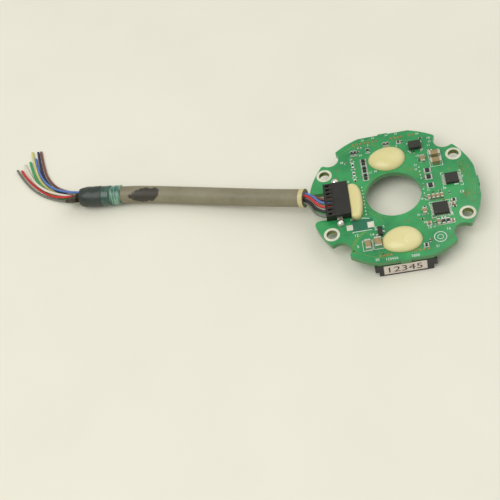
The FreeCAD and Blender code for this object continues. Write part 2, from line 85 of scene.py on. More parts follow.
# ---- grey cable ----
# An eight-core screened signal cable in a satin grey vinyl jacket. It was cut off near the plug,
# and it is scuffed, with one dark smear of old adhesive near the cut end.
def speckle_group():
    """Two sizes of noise mixed: Tone for colours and roughness, Height for bump."""
    tree = bpy.data.node_groups.new("speckle", "ShaderNodeTree")
    for name, kind in (("Vector", "NodeSocketVector"), ("Scale", "NodeSocketFloat"),
                       ("Coarse share", "NodeSocketFloat")):
        tree.interface.new_socket(name, in_out="INPUT", socket_type=kind)
    for name in ("Tone", "Height"):
        tree.interface.new_socket(name, in_out="OUTPUT", socket_type="NodeSocketFloat")
    start, end = tree.nodes.new("NodeGroupInput"), tree.nodes.new("NodeGroupOutput")
    fine, coarse = tree.nodes.new("ShaderNodeTexNoise"), tree.nodes.new("ShaderNodeTexNoise")
    slower = tree.nodes.new("ShaderNodeMath")
    slower.operation = "MULTIPLY"
    slower.inputs[1].default_value = 0.13
    mixed = tree.nodes.new("ShaderNodeMix")
    link = tree.links.new
    link(start.outputs["Vector"], fine.inputs["Vector"])
    link(start.outputs["Vector"], coarse.inputs["Vector"])
    link(start.outputs["Scale"], fine.inputs["Scale"])
    link(start.outputs["Scale"], slower.inputs[0])
    link(slower.outputs[0], coarse.inputs["Scale"])
    link(start.outputs["Coarse share"], mixed.inputs[0])
    link(fine.outputs[0], mixed.inputs[2])
    link(coarse.outputs[0], mixed.inputs[3])
    link(mixed.outputs[0], end.inputs["Tone"])
    link(fine.outputs[0], end.inputs["Height"])
    return tree


SPECKLE = speckle_group()


def new_finish(name, dark, light, per_m, rough, bump=0.15, metallic=0.0, coarse=0.5, coat=0.0):
    """A material that drifts between two colours, with a fine grain. Returns it and its main nodes."""
    material = bpy.data.materials.new(name)
    material.use_nodes = True
    nodes, link = material.node_tree.nodes, material.node_tree.links.new
    shader = nodes["Principled BSDF"]
    place = nodes.new("ShaderNodeTexCoord")
    speckle = nodes.new("ShaderNodeGroup")
    speckle.node_tree = SPECKLE
    speckle.inputs["Scale"].default_value = per_m
    speckle.inputs["Coarse share"].default_value = coarse
    link(place.outputs["Object"], speckle.inputs["Vector"])
    ramp = nodes.new("ShaderNodeValToRGB")
    ramp.color_ramp.elements[0].position, ramp.color_ramp.elements[1].position = 0.35, 0.65
    ramp.color_ramp.elements[0].color, ramp.color_ramp.elements[1].color = (*dark, 1), (*light, 1)
    link(speckle.outputs["Tone"], ramp.inputs[0])
    link(ramp.outputs[0], shader.inputs["Base Color"])
    worn = nodes.new("ShaderNodeMapRange")
    worn.inputs[1].default_value, worn.inputs[2].default_value = 0.3, 0.7
    worn.inputs[3].default_value, worn.inputs[4].default_value = rough * 0.85, min(1.0, rough * 1.15)
    link(speckle.outputs["Tone"], worn.inputs[0])
    link(worn.outputs[0], shader.inputs["Roughness"])
    relief = nodes.new("ShaderNodeBump")
    relief.inputs["Strength"].default_value = bump
    relief.inputs["Distance"].default_value = 0.00004
    link(speckle.outputs["Height"], relief.inputs["Height"])
    link(relief.outputs[0], shader.inputs["Normal"])
    shader.inputs["Metallic"].default_value = metallic
    shader.inputs["Coat Weight"].default_value = coat
    return material, nodes, link, shader, place, ramp


def tint_where(finish, mask_socket, colour):
    """Lays another colour over a finish where a mask is 1."""
    _, nodes, link, shader, _, ramp = finish
    tint = nodes.new("ShaderNodeMix")
    tint.data_type = "RGBA"
    tint.inputs[7].default_value = (*colour, 1)
    link(mask_socket, tint.inputs[0])
    link(ramp.outputs[0], tint.inputs[6])
    link(tint.outputs[2], shader.inputs["Base Color"])


def round_cord(name, points, radius, material):
    """A cord as one smooth NURBS line with its points as controls, and a round section."""
    curve = bpy.data.curves.new(name, "CURVE")
    curve.dimensions = "3D"
    curve.resolution_u = 12
    curve.bevel_depth = radius
    curve.bevel_resolution = 6
    curve.use_fill_caps = True
    spline = curve.splines.new("NURBS")
    spline.points.add(len(points) - 1)
    for point, at in zip(spline.points, points):
        point.co = (*at, 1)
    spline.order_u = 3
    spline.use_endpoint_u = True
    curve.materials.append(material)
    cord = bpy.data.objects.new(name, curve)
    bpy.context.collection.objects.link(cord)
    return cord


JACKET_D = 0.0055
JACKET_ROUTE = [Vector(p) for p in (
    (-0.0260, 0.0038, 0.00185), (-0.0305, 0.0054, 0.00115), (-0.0380, 0.00805, 0.00005),
    (-0.0505, 0.0124, -0.00125), (-0.0640, 0.0165, -0.00195), (-0.0745, 0.0193, -0.00205),
    (-0.0830, 0.0207, -0.0014), (-0.0940, 0.0222, -0.0014))]

vinyl_finish = new_finish(
    "grey_vinyl", (0.188, 0.168, 0.102), (0.250, 0.228, 0.146), 900, 0.5, bump=0.2, coarse=0.7)
vinyl, nodes, link, _, place, _ = vinyl_finish
SMEAR_AT = (-0.0772, 0.0177, 0.0004)
SMEAR_PER_M = (215, 470, 420)   # one over the smear's half size along each axis
SMEAR_COLOUR = (0.036, 0.031, 0.019)
offset = nodes.new("ShaderNodeVectorMath")
offset.operation = "SUBTRACT"
offset.inputs[1].default_value = SMEAR_AT
link(place.outputs["Object"], offset.inputs[0])
squeeze = nodes.new("ShaderNodeVectorMath")
squeeze.operation = "MULTIPLY"
squeeze.inputs[1].default_value = SMEAR_PER_M
link(offset.outputs[0], squeeze.inputs[0])
ragged = nodes.new("ShaderNodeTexNoise")
ragged.inputs["Scale"].default_value = 800
ragged.inputs["Detail"].default_value = 6
link(place.outputs["Object"], ragged.inputs["Vector"])
reach = nodes.new("ShaderNodeVectorMath")
reach.operation = "LENGTH"
link(squeeze.outputs[0], reach.inputs[0])
edge = nodes.new("ShaderNodeMath")
edge.operation = "ADD"
link(reach.outputs["Value"], edge.inputs[0])
link(ragged.outputs[0], edge.inputs[1])
inside = nodes.new("ShaderNodeMapRange")
inside.inputs[1].default_value, inside.inputs[2].default_value = 1.66, 1.54
link(edge.outputs[0], inside.inputs[0])
tint_where(vinyl_finish, inside.outputs[0], SMEAR_COLOUR)

grey_cable = round_cord("grey_cable", JACKET_ROUTE, JACKET_D / 2, vinyl)
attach(grey_cable, "cable")
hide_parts("cable_jacket")

# ---- coloured wires ----
# Fine stranded wires in satin vinyl insulation. They are crimped into the plug two to a way and
# gather in a ring inside the jacket. All but the black one fan out where the cable was cut.
WIRE_D = 0.0008
LAY_R = 0.00145         # radius of the ring that the wires make inside the jacket
LEAD_IN = 0.0013        # straight run out of the jacket's mouth
LEAD_OUT = 0.0039       # straight run past the jacket's cut end
PLUG_FRONT = -0.0203
IN_CELL = 0.0017        # how far a wire reaches into the plug
CELL_Z = 0.0028
PAIR_DZ = 0.00042       # the two wires of one way lie this far above and below its middle
PITCH = 0.0015
MIDDLE_WAY = 3.5
CONN_Y = -0.0001
ON_FLOOR = -0.0044
ON_WIRES = -0.00345
HEADING = math.radians(165)
SIDE = Vector((math.sin(HEADING), -math.cos(HEADING), 0))

# each wire: place in the ring (degrees), way in the plug, layer in that way, X where it turns
# towards the cable, and the points of its free end
WIRES = {
    "brown": (0, 3, 1, -0.02085, [(-0.1068, 0.0296, ON_FLOOR), (-0.1116, 0.0342, ON_FLOOR),
                                  (-0.1146, 0.0410, ON_FLOOR), (-0.1165, 0.0498, ON_FLOOR)]),
    "navy": (-45, 3, -1, -0.02085, [(-0.1070, 0.0283, ON_FLOOR), (-0.1120, 0.0331, ON_FLOOR),
                                    (-0.1156, 0.0400, ON_FLOOR), (-0.1176, 0.0499, ON_FLOOR)]),
    "blue": (45, 4, 1, -0.0212, [(-0.1068, 0.0287, ON_WIRES), (-0.1122, 0.0324, ON_WIRES),
                                 (-0.1165, 0.0399, ON_FLOOR), (-0.1182, 0.0469, ON_FLOOR)]),
    "yellow": (-90, 4, -1, -0.0212, [(-0.1073, 0.0274, ON_FLOOR), (-0.1126, 0.0320, ON_FLOOR),
                                     (-0.1172, 0.0389, ON_FLOOR), (-0.1198, 0.0503, ON_FLOOR)]),
    "red": (90, 5, 1, -0.0216, [(-0.1078, 0.0261, ON_WIRES), (-0.1140, 0.0305, ON_FLOOR),
                                (-0.1203, 0.0376, ON_FLOOR), (-0.1228, 0.0424, ON_FLOOR)]),
    "white": (None, 5, -1, -0.0216, [(-0.1073, 0.0273, ON_WIRES), (-0.1136, 0.0309, ON_WIRES + 0.0001),
                                     (-0.1191, 0.0380, ON_FLOOR), (-0.1220, 0.0450, ON_FLOOR)]),
    "black": (135, 6, 1, -0.0223, []),
    "green": (-135, 6, -1, -0.0219, [(-0.1076, 0.0265, ON_FLOOR), (-0.1133, 0.0312, ON_FLOOR),
                                     (-0.1179, 0.0380, ON_FLOOR), (-0.1201, 0.0458, ON_FLOOR)]),
    "grey": (180, 7, 0, -0.0228, [(-0.1079, 0.0256, ON_FLOOR), (-0.1148, 0.0295, ON_FLOOR),
                                  (-0.1211, 0.0366, ON_FLOOR), (-0.1245, 0.0430, ON_FLOOR)]),
}
WIRE_COLOURS = {
    "brown": (0.20, 0.065, 0.04), "navy": (0.022, 0.026, 0.075), "blue": (0.10, 0.20, 0.50),
    "green": (0.04, 0.36, 0.10), "red": (0.56, 0.025, 0.02), "white": (0.80, 0.74, 0.60),
    "black": (0.012, 0.012, 0.013), "yellow": (0.66, 0.62, 0.20), "grey": (0.17, 0.18, 0.145)}

cut_end = JACKET_ROUTE[-1]
cut_axis = (cut_end - JACKET_ROUTE[-2]).normalized()
mouth_axis = (JACKET_ROUTE[0] - JACKET_ROUTE[1]).normalized()
free_ends = []
for name, (ring, way, layer, turn_x, fan) in WIRES.items():
    shift = Vector((0, 0, 0))
    if ring is not None:
        shift = (SIDE * math.cos(math.radians(ring)) + UP * math.sin(math.radians(ring))) * LAY_R
    y, z = CONN_Y + PITCH * (MIDDLE_WAY - way), CELL_Z + PAIR_DZ * layer
    route = [Vector((PLUG_FRONT + IN_CELL, y, z)), Vector((turn_x, y, z)),
             JACKET_ROUTE[0] + mouth_axis * LEAD_IN + shift]
    route += [p + shift for p in JACKET_ROUTE[1:-1]]
    route += [cut_end + (cut_axis * LEAD_OUT if fan else Vector()) + shift]
    route += [Vector(p) for p in fan]
    colour = WIRE_COLOURS[name]
    shaded = tuple(c * 0.82 for c in colour)
    insulation = new_finish("insulation_" + name, shaded, colour, 2500, 0.38, bump=0.06)[0]
    lead = round_cord("lead_" + name, route, WIRE_D / 2, insulation)
    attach(lead, "cable")
    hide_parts("wire_" + name)
    if fan:
        free_ends.append((route[-1], (route[-1] - route[-2]).normalized()))


def mesh_piece(name, shape, material, body, smooth=True):
    """Turns a bmesh into a piece of the object that moves with a body."""
    mesh = bpy.data.meshes.new(name)
    shape.to_mesh(mesh)
    shape.free()
    mesh.materials.append(material)
    piece = bpy.data.objects.new(name, mesh)
    bpy.context.collection.objects.link(piece)
    for polygon in mesh.polygons:
        polygon.use_smooth = smooth
    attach(piece, body)
    return piece


tin = new_finish("tin_plate", (0.62, 0.60, 0.52), (0.80, 0.78, 0.70), 3000, 0.34, bump=0.1, metallic=1.0)[0]
# the cut faces show seven tinned strands in each wire: six round one
shape = bmesh.new()
STRAND_R, STRAND_RING, STRAND_OUT = 0.00008, 0.00017, 0.0003
for end, axis in free_ends:
    turn = axis.to_track_quat("Z", "Y").to_matrix().to_4x4()
    for k in range(7):
        angle = k * math.pi / 3
        spot = Vector((math.cos(angle), math.sin(angle), 0)) * (STRAND_RING if k < 6 else 0)
        placed = Matrix.Translation(end) @ turn @ Matrix.Translation(spot)
        bmesh.ops.create_cone(shape, cap_ends=True, segments=8, radius1=STRAND_R,
                              radius2=STRAND_R * 0.8, depth=STRAND_OUT, matrix=placed)
mesh_piece("strand_ends", shape, tin, "cable")


# ---- sleeve, tape and shield at the cut end ----
# A shrink sleeve and a wrap of clear green tape, lapped over it, keep the cut jacket together.
# The frayed tail of the screen's braid was left over the wires.
def turned(shape, origin, axis, profile, wobble, segments=64):
    """Adds a closed round shape: profile is (distance along, radius) from axis to axis."""
    turn = axis.to_track_quat("Z", "Y").to_matrix()
    rings = []
    for along, radius in profile:
        if radius == 0:
            rings.append([shape.verts.new(origin + axis * along)])
            continue
        ring = []
        for k in range(segments):
            angle = 2 * math.pi * k / segments
            spot = Vector((math.cos(angle), math.sin(angle), 0))
            low = noise.noise(Vector((spot.x * 1.5, spot.y * 1.5, along * 700)))
            spot *= radius - wobble * (0.5 + low)
            ring.append(shape.verts.new(origin + axis * along + turn @ spot))
        rings.append(ring)
    for first, second in zip(rings, rings[1:]):
        for k in range(segments):
            corners = [first[k % len(first)], first[(k + 1) % len(first)],
                       second[(k + 1) % len(second)], second[k % len(second)]]
            corners = [c for i, c in enumerate(corners) if c not in corners[:i]]
            shape.faces.new(corners)
    bmesh.ops.recalc_face_normals(shape, faces=shape.faces)


sleeve_film = new_finish("dark_sleeve", (0.013, 0.020, 0.015), (0.024, 0.036, 0.027), 700, 0.42, bump=0.12,
                         coarse=0.8, coat=0.15)[0]
SLEEVE_R = 0.0034
SLEEVE_WOBBLE, TAPE_WOBBLE = 0.00012, 0.0001
shape = bmesh.new()
SLEEVE_ON, SLEEVE_OFF = 0.0056, 0.0049
rim = [(-SLEEVE_ON, 0), (-SLEEVE_ON, 0.0030), (-SLEEVE_ON + 0.0004, 0.0031),
       (-SLEEVE_ON + 0.0026, 0.00318)]
barrel = [(-SLEEVE_ON + 0.0029 + 0.0005 * k, SLEEVE_R) for k in range(1, 11)]
lip = [(SLEEVE_OFF + back_off, radius) for back_off, radius in (
    (-0.0018, 0.00336), (-0.0010, 0.0032), (-0.0003, 0.0030), (0, 0.00285), (-0.0001, 0.0027),
    (-0.0005, 0.0026), (-0.0005, 0))]
turned(shape, cut_end, cut_axis, rim + barrel + lip, SLEEVE_WOBBLE)
sleeve = mesh_piece("sleeve_wrap", shape, sleeve_film, "cable")
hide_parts("dark_sleeve")

tape_film, nodes, link, shader, place, _ = new_finish(
    "green_tape", (0.05, 0.24, 0.17), (0.22, 0.44, 0.34), 600, 0.3, bump=0.1, coarse=0.8, coat=0.3)
streaks = nodes.new("ShaderNodeTexNoise")
streaks.inputs["Scale"].default_value = 1.0
stretch = nodes.new("ShaderNodeMapping")
stretch.inputs["Scale"].default_value = (2600, 260, 260)
band = nodes.new("ShaderNodeValToRGB")
band.color_ramp.elements[0].position, band.color_ramp.elements[1].position = 0.40, 0.62
band.color_ramp.elements[0].color = (0.02, 0.11, 0.075, 1)
band.color_ramp.elements[1].color = (0.23, 0.41, 0.29, 1)
link(place.outputs["Object"], stretch.inputs["Vector"])
link(stretch.outputs[0], streaks.inputs["Vector"])
link(streaks.outputs[0], band.inputs[0])
link(band.outputs[0], shader.inputs["Base Color"])
shape = bmesh.new()
wrap = [(-0.0091, 0), (-0.0091, 0.0031), (-0.0089, 0.0032), (-0.0086, 0.00312), (-0.0077, 0.00314),
        (-0.0072, 0.00319), (-0.0068, 0.00313), (-SLEEVE_ON, 0.00318), (-SLEEVE_ON, 0)]
turned(shape, cut_end, cut_axis, wrap, TAPE_WOBBLE)
tape = mesh_piece("tape_wrap", shape, tape_film, "cable")
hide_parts("green_tape")

lap_film = new_finish("tape_over_sleeve", (0.014, 0.050, 0.038), (0.050, 0.125, 0.092), 800, 0.28,
                      bump=0.1, coarse=0.6, coat=0.35)[0]
shape = bmesh.new()
lap = [(past - SLEEVE_ON, radius) for past, radius in (
    (-0.0001, 0), (-0.0001, 0.00322), (0.0006, 0.00329), (0.0016, 0.00327), (0.0025, 0.00334),
    (0.0029, 0.00328), (0.0029, 0))]
turned(shape, cut_end, cut_axis, lap, TAPE_WOBBLE)
tape_lap = mesh_piece("tape_lap", shape, lap_film, "cable")

braid = new_finish("frayed_braid", (0.045, 0.036, 0.026), (0.150, 0.125, 0.090), 4000, 0.5, metallic=0.5)[0]
mouth = cut_end + cut_axis * (SLEEVE_OFF - 0.0006)
tip = mouth + cut_axis * 0.0056 - SIDE * 0.0014 + UP * 0.0004
gather = mouth + cut_axis * 0.0027 - SIDE * 0.0010 + UP * 0.0009
LOWEST_STRAND = cad_box[0][2] + 0.0002
BRAID_STRANDS = 150
BRAID_R, BRAID_TIP_R = 0.00010, 0.00009
GOLDEN_ANGLE, GOLDEN_SHARE = 2.4, 0.618   # spread the strands evenly over the mouth
shape = bmesh.new()
for k in range(BRAID_STRANDS):
    angle = k * GOLDEN_ANGLE
    spread = 0.35 + 0.65 * ((k * GOLDEN_SHARE) % 1)
    around = SIDE * math.cos(angle) * 1.15 + UP * math.sin(angle)
    around -= SIDE * 0.35 - UP * 0.25
    loose = 0.75 + 0.5 * noise.noise(Vector((k * 0.7, 3.1, 0)))
    points = [mouth + around * 0.0024 * spread,
              mouth + cut_axis * 0.0012 + around * 0.0020 * loose * spread,
              gather + around * 0.0012 * loose,
              gather.lerp(tip, 0.55 + 0.4 * loose) + around * 0.0004 * loose]
    points = [Vector((p.x, p.y, max(p.z, LOWEST_STRAND))) for p in points]
    for first, second in zip(points, points[1:]):
        axis = second - first
        placed = Matrix.Translation((first + second) / 2) @ axis.to_track_quat("Z", "Y").to_matrix().to_4x4()
        bmesh.ops.create_cone(shape, cap_ends=True, segments=5, radius1=BRAID_R, radius2=BRAID_TIP_R,
                              depth=axis.length, matrix=placed)
strands = mesh_piece("shield_strands", shape, braid, "cable")
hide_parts("shield_tail")


# ---- bare circuit board ----
# Glass laminate under a satin green solder mask. The routed edge shows paler resin, and the
# copper under the mask shows as slightly yellower tracks.
TOP = 0.0016            # the board's upper face, and its thickness
SINK = 0.00001          # how far inside the board its surface layers start
INK_THICK, TRACK_THICK = 0.00003, 0.00002


def dress(material, *nodes):
    """Gives one material to CAD pieces that keep their own shape."""
    for node in nodes:
        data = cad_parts[node].data
        data.materials.clear()
        data.materials.append(material)


def wall_mask(finish, margin):
    """1 on the upright walls between the board's faces, 0 on the faces and within margin of them."""
    _, nodes, link, _, place, _ = finish
    split = nodes.new("ShaderNodeSeparateXYZ")
    link(place.outputs["Object"], split.inputs[0])
    between = nodes.new("ShaderNodeMath")
    between.operation = "COMPARE"
    between.inputs[1].default_value, between.inputs[2].default_value = TOP / 2, TOP / 2 - margin
    link(split.outputs["Z"], between.inputs[0])
    return between.outputs[0]


mask_finish = new_finish("green_laminate", (0.010, 0.218, 0.062), (0.034, 0.345, 0.094), 700, 0.30,
                         bump=0.05, coarse=0.75, coat=0.35)
tint_where(mask_finish, wall_mask(mask_finish, 0.00003), (0.055, 0.215, 0.066))
dress(mask_finish[0], "circuit_board")


def slab(shape, x0, x1, y0, y1, z0, z1, turn=0.0, taper=0.0):
    """A low block, turned about its own middle, with its top drawn in by taper."""
    middle = Vector(((x0 + x1) / 2, (y0 + y1) / 2, 0))
    spin = Matrix.Rotation(turn, 3, "Z")
    rows = []
    for z, inset in ((z0, 0.0), (z1, taper)):
        half = Vector(((x1 - x0) / 2 - inset, (y1 - y0) / 2 - inset, 0))
        rows.append([shape.verts.new(middle + spin @ Vector((sx * half.x, sy * half.y, 0)) + UP * z)
                     for sx, sy in ((-1, -1), (1, -1), (1, 1), (-1, 1))])
    low_row, high_row = rows
    shape.faces.new(low_row[::-1])
    shape.faces.new(high_row)
    for k in range(4):
        n = (k + 1) % 4
        shape.faces.new((low_row[k], low_row[n], high_row[n], high_row[k]))


def plate(shape, x, y, half_x, half_y, height, **more):
    """A slab on the board's top, with its middle and half sizes in mm."""
    slab(shape, (x - half_x) / 1000, (x + half_x) / 1000, (y - half_y) / 1000, (y + half_y) / 1000,
         TOP - SINK, TOP + height, **more)


def stroke(shape, points, width, height=INK_THICK):
    """A painted or etched line on the board's top, one mitred strip through points in mm."""
    spots = [Vector((x, y, 0)) / 1000 for x, y in points]
    ways = [(b - a).normalized() for a, b in zip(spots, spots[1:])]
    rows = []
    for spot, before, after in zip(spots, ways[:1] + ways, ways + ways[-1:]):
        way = (before + after).normalized()
        across = Vector((-way.y, way.x, 0)) * (width / 2 / way.dot(after))
        rows.append([shape.verts.new(spot + across * side + UP * (TOP + z))
                     for side, z in ((-1, -SINK), (1, -SINK), (1, height), (-1, height))])
    sides = [shape.faces.new((first[k], first[(k + 1) % 4], second[(k + 1) % 4], second[k]))
             for first, second in zip(rows, rows[1:]) for k in range(4)]
    sides += [shape.faces.new(rows[0][::-1]), shape.faces.new(rows[-1])]
    bmesh.ops.recalc_face_normals(shape, faces=sides)


def arc(cx, cy, r, start, end, steps=18):
    """Points in mm along part of a circle, from start to end in degrees."""
    angles = [math.radians(start + (end - start) * k / steps) for k in range(steps + 1)]
    return [(cx + r * math.cos(t), cy + r * math.sin(t)) for t in angles]


def track(shape, points, width):
    """Copper that shows through the mask."""
    stroke(shape, points, width, TRACK_THICK)


track_mask = new_finish("covered_copper", (0.055, 0.260, 0.060), (0.110, 0.330, 0.075), 900, 0.32,
                        coat=0.3)[0]
shape = bmesh.new()
for r in (21.4, 21.9, 22.4, 22.9, 23.4):
    track(shape, arc(0, 0, r, -19, 22), 0.00016)
for k in range(5):
    track(shape, arc(0, 0, 9.1 + 0.45 * k, 28 - 3 * k, 66), 0.00014)
    track(shape, [(19.3, 4.5 + 0.5 * k), (20.4, 4.5 + 0.5 * k), (21.2, 3.7 + 0.5 * k)], 0.00014)
track(shape, [(-9.7, -12.0), (-11.8, -13.4), (-13.0, -15.0), (-13.9, -16.7), (-14.0, -18.5)], 0.00095)
track(shape, [(-8.0, -5.0), (-7.2, -6.4), (-5.0, -8.0), (-4.6, -9.6)], 0.0003)
track(shape, arc(0, 0, 8.75, 100, 260), 0.0002)
track(shape, arc(0, 0, 23.1, 98, 128), 0.0003)
track(shape, arc(0, 0, 23.0, 232, 262), 0.0003)
track(shape, [(4.5, -9.5), (6.0, -10.5), (6.8, -12.5)], 0.0002)
mesh_piece("covered_tracks", shape, track_mask, "board", smooth=False)

olive = new_finish("olive_copper", (0.10, 0.19, 0.04), (0.20, 0.27, 0.07), 1500, 0.4)[0]
shape = bmesh.new()
scatter = random.Random(7)
# middle, spread both ways and count of each group of patches, in mm
PATCHES = (
    (-6.0, 20.6, 3.4, 0.7, 16), (3.9, 20.9, 1.6, 0.7, 9), (20.4, -4.2, 1.2, 1.2, 12),
    (-5.2, -20.6, 1.9, 0.5, 10), (4.8, -20.9, 2.4, 0.4, 9), (11.7, -2.2, 2.2, 0.5, 9),
    (9.4, -11.6, 1.4, 0.8, 9), (21.4, 5.2, 1.4, 1.2, 6), (-9.2, 13.2, 1.0, 3.4, 10),
    (14.6, -5.2, 1.8, 0.4, 7))
for cx, cy, spread_x, spread_y, count in PATCHES:
    for _ in range(count):
        x, y = cx + scatter.uniform(-spread_x, spread_x), cy + scatter.uniform(-spread_y, spread_y)
        size = scatter.uniform(0.12, 0.28)
        plate(shape, x, y, size, size * 0.7, 0.000015, turn=scatter.uniform(0, 0.6))
mesh_piece("olive_patches", shape, olive, "board", smooth=False)

bare_area = new_finish("bare_laminate", (0.010, 0.128, 0.064), (0.018, 0.170, 0.088), 900, 0.35)[0]
shape = bmesh.new()
slab(shape, -0.0134, -0.0072, -0.0115, -0.0076, TOP - SINK, TOP + 0.00001)
mesh_piece("empty_part_area", shape, bare_area, "board", smooth=False)

# ---- vias and test pads ----
# Plated through holes, tented or left open, and rows of small gold test pads near the rim.
VIAS = [
    (-15.4, 12.6), (-13.6, -15.2), (-13.7, -18.8), (1.7, -10.9), (2.9, -10.5), (13.4, -18.7),
    (8.0, -18.5), (15.2, -13.0), (17.1, 5.8), (21.0, 6.9), (22.8, 5.7), (21.0, 4.0), (22.7, -5.0),
    (21.7, -7.3), (19.7, -4.2), (20.5, -3.5), (20.9, -4.6), (20.1, -5.2), (-12.2, 15.2), (-15.9, 9.6),
    (6.5, 8.0)]
shape = bmesh.new()
for x, y in VIAS:
    shape.verts.new((x / 1000, y / 1000, TOP))
points = bpy.data.meshes.new("via_points")
shape.to_mesh(points)
shape.free()
gold = new_finish("worn_gold", (0.30, 0.17, 0.05), (0.48, 0.32, 0.12), 3000, 0.4, metallic=0.8)[0]
tree = bpy.data.node_groups.new("via_rings", "GeometryNodeTree")
tree.interface.new_socket("Geometry", in_out="INPUT", socket_type="NodeSocketGeometry")
tree.interface.new_socket("Ring radius", in_out="INPUT", socket_type="NodeSocketFloat")
tree.interface.new_socket("Metal width", in_out="INPUT", socket_type="NodeSocketFloat")
tree.interface.new_socket("Geometry", in_out="OUTPUT", socket_type="NodeSocketGeometry")
start, end = tree.nodes.new("NodeGroupInput"), tree.nodes.new("NodeGroupOutput")
ring = tree.nodes.new("GeometryNodeCurvePrimitiveCircle")
ring.inputs["Resolution"].default_value = 16
section = tree.nodes.new("GeometryNodeCurvePrimitiveCircle")
section.inputs["Resolution"].default_value = 6
solid = tree.nodes.new("GeometryNodeCurveToMesh")
copies = tree.nodes.new("GeometryNodeInstanceOnPoints")
real = tree.nodes.new("GeometryNodeRealizeInstances")
coat = tree.nodes.new("GeometryNodeSetMaterial")
coat.inputs["Material"].default_value = gold
glink = tree.links.new
glink(start.outputs["Ring radius"], ring.inputs["Radius"])
glink(start.outputs["Metal width"], section.inputs["Radius"])
glink(ring.outputs["Curve"], solid.inputs["Curve"])
glink(section.outputs["Curve"], solid.inputs["Profile Curve"])
glink(start.outputs["Geometry"], copies.inputs["Points"])
glink(solid.outputs["Mesh"], copies.inputs["Instance"])
glink(copies.outputs["Instances"], real.inputs["Geometry"])
glink(real.outputs["Geometry"], coat.inputs["Geometry"])
glink(coat.outputs["Geometry"], end.inputs["Geometry"])
seed = bpy.data.objects.new("via_seed", points)
bpy.context.collection.objects.link(seed)
modifier = seed.modifiers.new("rings", "NODES")
modifier.node_group = tree
sockets = {s.name: s.identifier for s in tree.interface.items_tree if s.in_out == "INPUT"}
modifier[sockets["Ring radius"]] = 0.00026
modifier[sockets["Metal width"]] = 0.00007
bpy.context.view_layer.update()
made = bpy.data.meshes.new_from_object(seed.evaluated_get(bpy.context.evaluated_depsgraph_get()))
bpy.data.objects.remove(seed)
shape = bmesh.new()
shape.from_mesh(made)
mesh_piece("via_rings", shape, gold, "board")

PAD_ROWS = (
    (21.65, (-9.5, -8.3, -7.1, -5.9, -4.7, -3.5, -2.3, 2.3, 3.4, 4.5, 5.5, 8.0, 9.0)),
    (-21.45, (-6.8, -5.8, -4.8, -3.8, 1.9, 3.1, 4.3, 5.5, 6.7)))
shape = bmesh.new()
for y, row in PAD_ROWS:
    for x in row:
        plate(shape, x, y, 0.3, 0.35, 0.00003)
mesh_piece("test_pads", shape, gold, "board", smooth=False)

# ---- solder ----
# Every chip part stands on two tinned lands, with a bright fillet of solder up each end, and
# every package lead lies on its own land.
solder = new_finish("solder", (0.66, 0.64, 0.56), (0.84, 0.82, 0.76), 2500, 0.22, bump=0.12, metallic=1.0)[0]


def islands(node):
    """The box of each separate solid in a CAD node."""
    shape = bmesh.new()
    shape.from_mesh(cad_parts[node].data)
    bmesh.ops.remove_doubles(shape, verts=shape.verts, dist=0.000001)
    left, boxes = set(shape.verts), []
    while left:
        reached, queue = set(), [left.pop()]
        while queue:
            vert = queue.pop()
            reached.add(vert)
            queue += [v for e in vert.link_edges for v in e.verts if v in left]
            left.difference_update(queue)
        spots = [v.co for v in reached]
        boxes.append([(min(s[i] for s in spots), max(s[i] for s in spots)) for i in range(3)])
    shape.free()
    return sorted(boxes)


shape = bmesh.new()
for node in ("large_capacitor_ends", "small_capacitor_ends", "resistor_ends"):
    for (x0, x1), (y0, y1), (z0, z1) in islands(node):
        slab(shape, x0 - 0.00022, x1 + 0.00022, y0 - 0.00016, y1 + 0.00016,
             z0 - SINK, z0 + (z1 - z0) * 0.55, taper=0.0002)
mesh_piece("solder_fillets", shape, solder, "board", smooth=False)
shape = bmesh.new()
for node in ("controller_leads", "driver_leads", "regulator_leads", "transistor_leads"):
    for (x0, x1), (y0, y1), (z0, z1) in islands(node):
        along_x, grow = (x1 - x0) > (y1 - y0), 0.00018
        gx, gy = (grow, 0.00003) if along_x else (0.00003, grow)
        slab(shape, x0 - gx, x1 + gx, y0 - gy, y1 + gy, TOP - SINK, TOP + 0.00006)
mesh_piece("lead_lands", shape, solder, "board", smooth=False)

# ---- silkscreen ----
# White ink: part outlines, a ring mark and plain numbers. The real print is left out where it
# would name anything.
ink = new_finish("white_ink", (0.62, 0.66, 0.60), (0.78, 0.80, 0.76), 4000, 0.6)[0]
shape = bmesh.new()
INK = 0.00014


def outline(x0, x1, y0, y1, gap, share=1.0):
    """A box of ink round a part, or only its corners where share is under 1."""
    a, b, c, d = (x0 - gap) * 1000, (x1 + gap) * 1000, (y0 - gap) * 1000, (y1 + gap) * 1000
    run_x, run_y = (b - a) * share, (d - c) * share
    for x, sx in ((a, 1), (b, -1)):
        for y, sy in ((c, 1), (d, -1)):
            stroke(shape, [(x + sx * run_x / 2, y), (x, y), (x, y + sy * run_y / 2)], INK)


